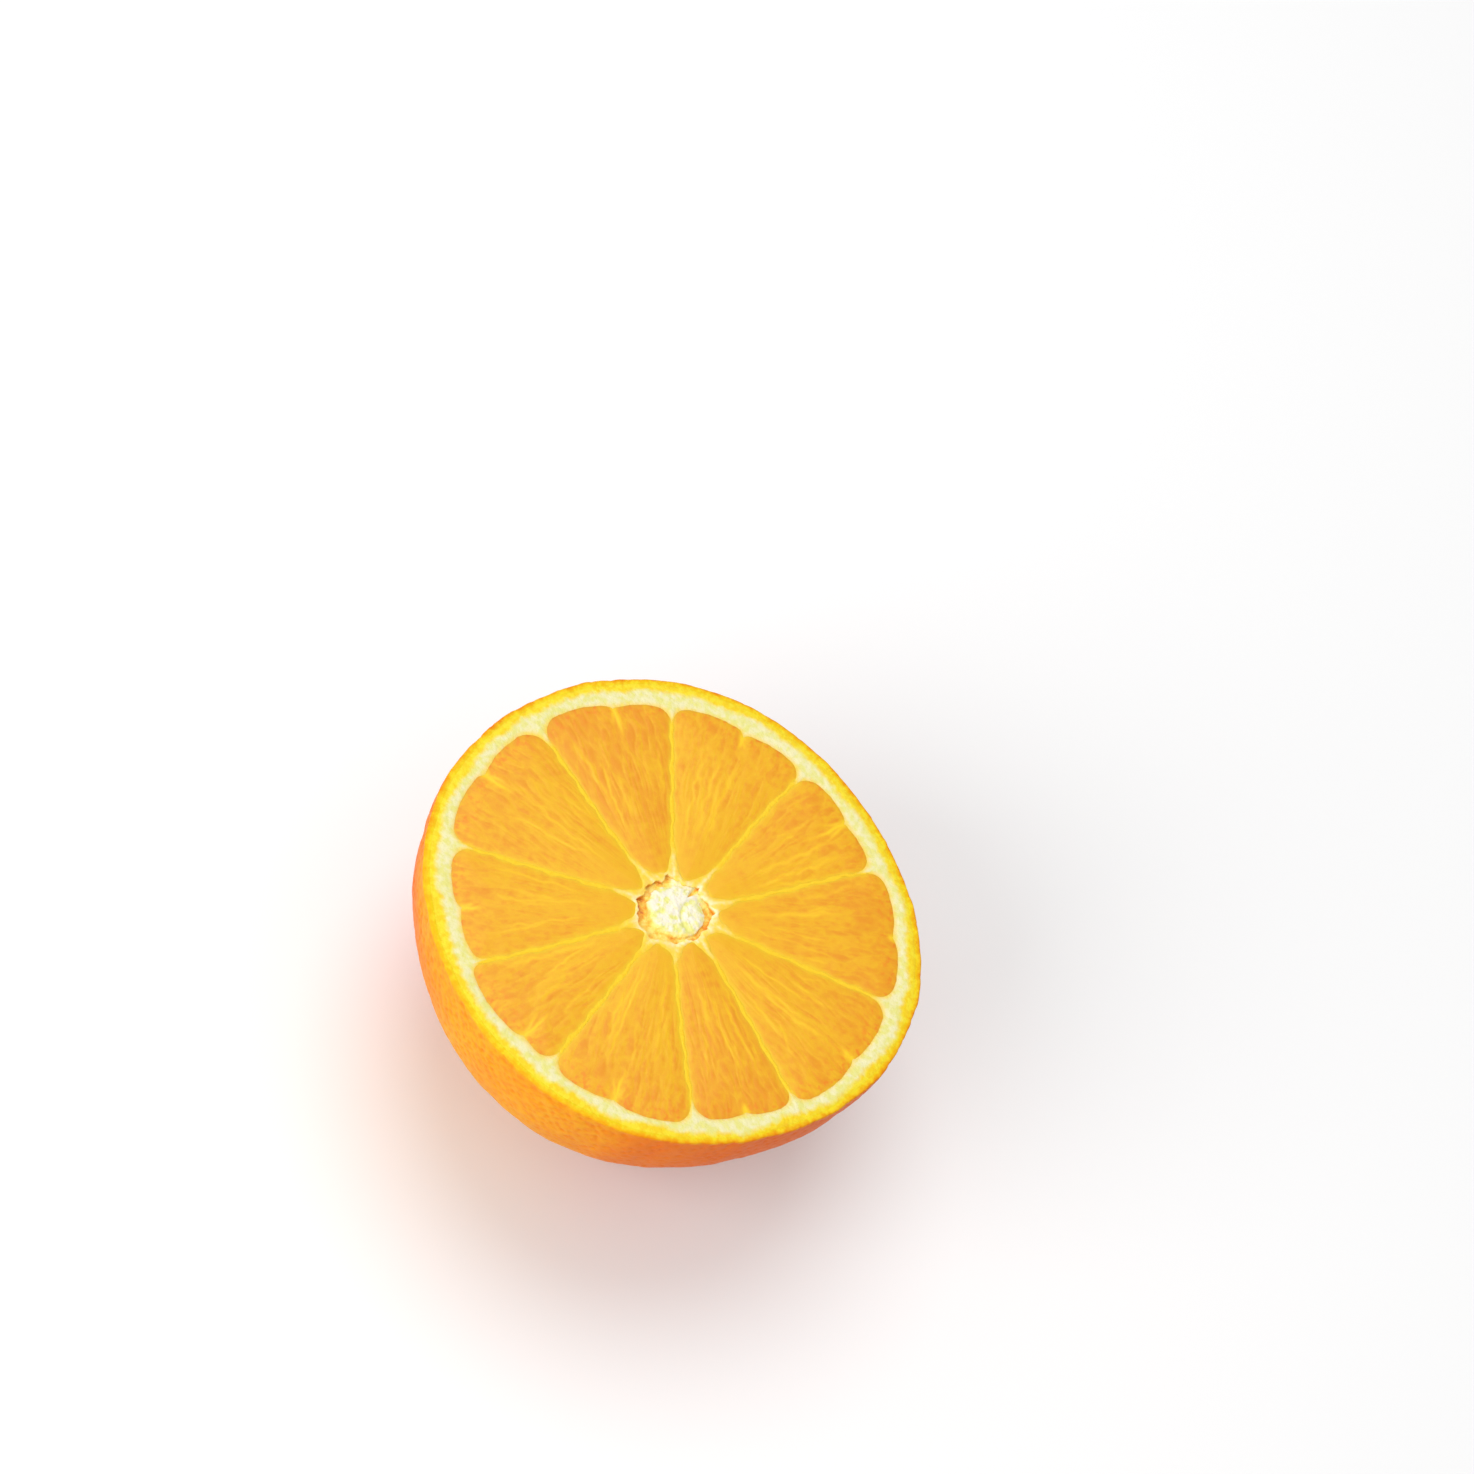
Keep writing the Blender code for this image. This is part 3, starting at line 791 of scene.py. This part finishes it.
def threads(number, radius, angle):
    """How pale the pulp is where the pith frays into it at the notch, in strands that fan out inwards."""
    notch, _, reach = SEGMENTS[number][3:]
    notch = math.radians(notch)
    inwards = outer_end(number, notch) - radius
    pale = np.zeros(len(radius))
    for fan, length, strength in ((0.0, 1.3, 0.9), (0.28, 0.9, 0.7), (-0.35, 0.7, 0.6)):
        sway = 0.45 * noise_at(polar(radius, number, 9 * fan), 2.2, number) * smooth(inwards / 2)
        away = (angle - notch) * radius + sway + fan * inwards
        width = 0.3 + 0.35 * np.exp(-np.maximum(inwards, 0) / 0.9)
        strand = np.exp(-((away / width) ** 2)) * smooth(1.4 * (1 - inwards / (reach * length)))
        pale = np.maximum(pale, strength * strand)
    return pale


def pulp(number, material):
    """One segment: a cushion of juice sacs between its walls."""
    bm, across, up = grid(PULP_COLUMNS, PULP_ROWS)
    start, far = tip_end(number, across) - 0.25, max(SEGMENTS[number][1:3]) + 0.4
    radius = mix(start, far, up)
    margin = 0.06 / radius
    angle = mix(membrane_angle(number, radius) + margin, membrane_angle(number + 1, radius) - margin, across)
    near_tip = 1 - smooth((radius - start) / 3)
    angle = mix(angle, share_angle(number, across, MEMBRANE_REACH[0]), near_tip * 0.5)
    points = polar(radius, angle, 0)
    first_side = (angle - membrane_angle(number, radius)) * radius - membrane_half(number, radius)
    last_side = (membrane_angle(number + 1, radius) - angle) * radius - membrane_half(number + 1, radius)
    from_wall = np.minimum(np.minimum(first_side, last_side), radius - tip_end(number, across))
    inside = (from_wall > 0) & (radius < outer_end(number, angle))
    distance = np.where(inside, 1, -1) * nearest(points, pulp_outline(number))
    middle = share_angle(number, 0.5, radius)
    s = (angle - middle) * np.sqrt(30 * radius)
    t = radius**2 / 36
    s = s + SAC_SWAY * noise_at(np.stack((s, t / 3, np.full_like(s, number)), axis=-1), 2.4, 5)
    sac, tone = sac_cells(number, s, t)
    rise = 1 - np.exp(-np.maximum(distance, 0) / PULP_RISE)
    height = mix(PULP_EDGE, PULP_CROWN, rise) - 0.15 * smooth((-distance - 0.15) / 0.3)
    grown = smooth((radius - 6) / 16)
    grain = SAC_RELIEF * (smooth(sac / 0.8) + 0.6 * tone - 0.8) * grown
    points[:, 2] = height + grain * smooth(distance / 0.9)
    pale = np.maximum(threads(number, radius, angle), strands(number, radius, angle))
    pale = np.maximum(pale, 0.75 * np.exp(-np.maximum(from_wall, 0) / 0.3))
    tone = 0.8 + (tone - 0.8) * grown + SEGMENT_TONES[number]
    carry(bm, points, across=s, along=t, outwards=radius / RIM_RADIUS, sac_tone=tone,
          sac_wall=(1 - smooth(sac / 0.5)) * grown, pale=pale)
    close_under(bm, PULP_THICKNESS)
    return piece(f"segment_{number + 1}", bm, material)


def core(material):
    """The spongy core and the floor and walls of the gap round it."""
    top_rows, wall_rows, floor_rows = 36, 8, 10
    rows = top_rows + wall_rows + floor_rows
    bm, around, up = grid(CORE_COLUMNS, rows)
    row = np.round(up * rows).astype(int)
    angle = around * math.tau
    around_core = polar(4.0, angle, 0)
    edge = gap_place(angle, 1) + 0.2 * noise_at(around_core, 0.9, 4) + 0.14 * noise_at(around_core, 0.4, 6)
    top, wall = np.clip(row / top_rows, 0, 1), np.clip((row - top_rows) / wall_rows, 0, 1)
    floor = np.clip((row - top_rows - wall_rows) / floor_rows, 0, 1)
    radius = edge * top + 0.3 * wall + (gap_end(angle) + 0.6 - edge) * floor
    points = polar(radius, angle, 0)
    depth = gap_place(angle, 3) * (1 + 0.35 * noise_at(points, 0.9, 8))
    middle = points - (*CORE_MIDDLE, 0)
    crown = CORE_CROWN * (1 - (np.linalg.norm(middle, axis=1) / CORE_RADIUS) ** 2)
    cleft = np.linalg.norm(points - (*CLEFT_MIDDLE, 0), axis=1) - CLEFT_RADIUS
    crown = crown - CLEFT_DEPTH * np.exp(-((cleft / CLEFT_WIDTH) ** 2))
    lumps = sum(lump * noise_at(points, size, 1) for lump, size in CORE_LUMPS)
    crown = crown + lumps
    # low: how far down in the lumps and the cleft a point lies, painted greenish-yellow there as painted
    # shade
    low = smooth(-lumps / 0.15) + 0.5 * np.exp(-((cleft / CLEFT_WIDTH) ** 2))
    crown = crown - 0.2 * smooth((top - 0.85) / 0.15)
    points[:, 2] = mix(crown, -depth, smooth(wall))
    # Painted in the gap, more on its walls and floor, most by its outer edge: its own browning and painted
    # shade
    gap = smooth(np.maximum(wall * 1.5, floor * 100)) * gap_place(angle, 4) * (0.7 + 0.5 * floor)
    below = smooth(1.3 * np.cos(angle - math.radians(FADE_AT)) - 0.3)
    below = (0.12 + 0.26 * below) * smooth((top - 0.8) / 0.2)
    gap = np.maximum(gap, below)
    carry(bm, points, gap=gap, low=low)
    bmesh.ops.remove_doubles(bm, verts=bm.verts, dist=0.002 * MM)
    close_under(bm, 1.5)
    return piece("core", bm, material)


def studio():
    """A pale floor, the wide soft lamps and an even white sky."""
    bm = bmesh.new()
    bmesh.ops.create_grid(bm, x_segments=1, y_segments=1, size=3.0)
    mesh = bpy.data.meshes.new("floor")
    bm.to_mesh(mesh)
    bm.free()
    material = bpy.data.materials.new("pale_floor")
    material.use_nodes = True
    material.node_tree.nodes["Principled BSDF"].inputs["Base Color"].default_value = (0.88, 0.88, 0.88, 1)
    material.node_tree.nodes["Principled BSDF"].inputs["Roughness"].default_value = 0.8
    mesh.materials.append(material)
    floor = bpy.data.objects.new("floor", mesh)
    bpy.context.scene.collection.objects.link(floor)
    world = bpy.data.worlds.new("sky")
    world.use_nodes = True
    world.node_tree.nodes["Background"].inputs["Strength"].default_value = 0.60
    world.node_tree.nodes["Background"].inputs["Color"].default_value = (1, 1, 1, 1)
    bpy.context.scene.world = world
    for name, place, size, power in LAMPS:
        light = bpy.data.lights.new(name, "AREA")
        light.shape = "DISK"
        light.size = size
        light.energy = power
        lamp = bpy.data.objects.new(name, light)
        lamp.location = place
        lamp.rotation_euler = Vector(place).to_track_quat("Z", "Y").to_euler()
        bpy.context.scene.collection.objects.link(lamp)


def photo_camera():
    """The camera at the photo's place, turned so that the cut face's middle falls where the photo has it."""
    elevation = math.radians(CAMERA_ELEVATION)
    back = Vector((0, -math.cos(elevation), math.sin(elevation)))
    up = Vector((0, math.sin(elevation), math.cos(elevation)))
    upright = Matrix((Vector((1, 0, 0)), up, back)).transposed().to_quaternion()
    roll = Matrix.Rotation(-math.radians(CAMERA_ROLL), 3, "Z").to_quaternion()
    focal = PHOTO_SIDE * CAMERA_LENS / CAMERA_SENSOR
    aside = (PHOTO_AIM[0] - PHOTO_SIDE / 2) / focal
    below = (PHOTO_AIM[1] - PHOTO_SIDE / 2) / focal
    turn = Vector((0, 0, -1)).rotation_difference(Vector((aside, -below, -1)))
    data = bpy.data.cameras.new("photo_camera")
    data.lens = CAMERA_LENS
    data.sensor_width = CAMERA_SENSOR
    camera = bpy.data.objects.new("photo_camera", data)
    camera.rotation_mode = "QUATERNION"
    camera.location = LIFT + back * CAMERA_DISTANCE
    camera.rotation_quaternion = upright @ roll @ turn.inverted()
    bpy.context.scene.collection.objects.link(camera)
    bpy.context.scene.camera = camera


def main():
    scene = bpy.context.scene
    scene.view_settings.view_transform = "Standard"
    photo_camera()
    studio()
    skin = rind_material()
    rind(skin)
    underside(skin)
    pith(pith_material())
    flesh = pulp_material()
    for number in range(len(SEGMENTS)):
        pulp(number, flesh)
    core(core_material())


main()
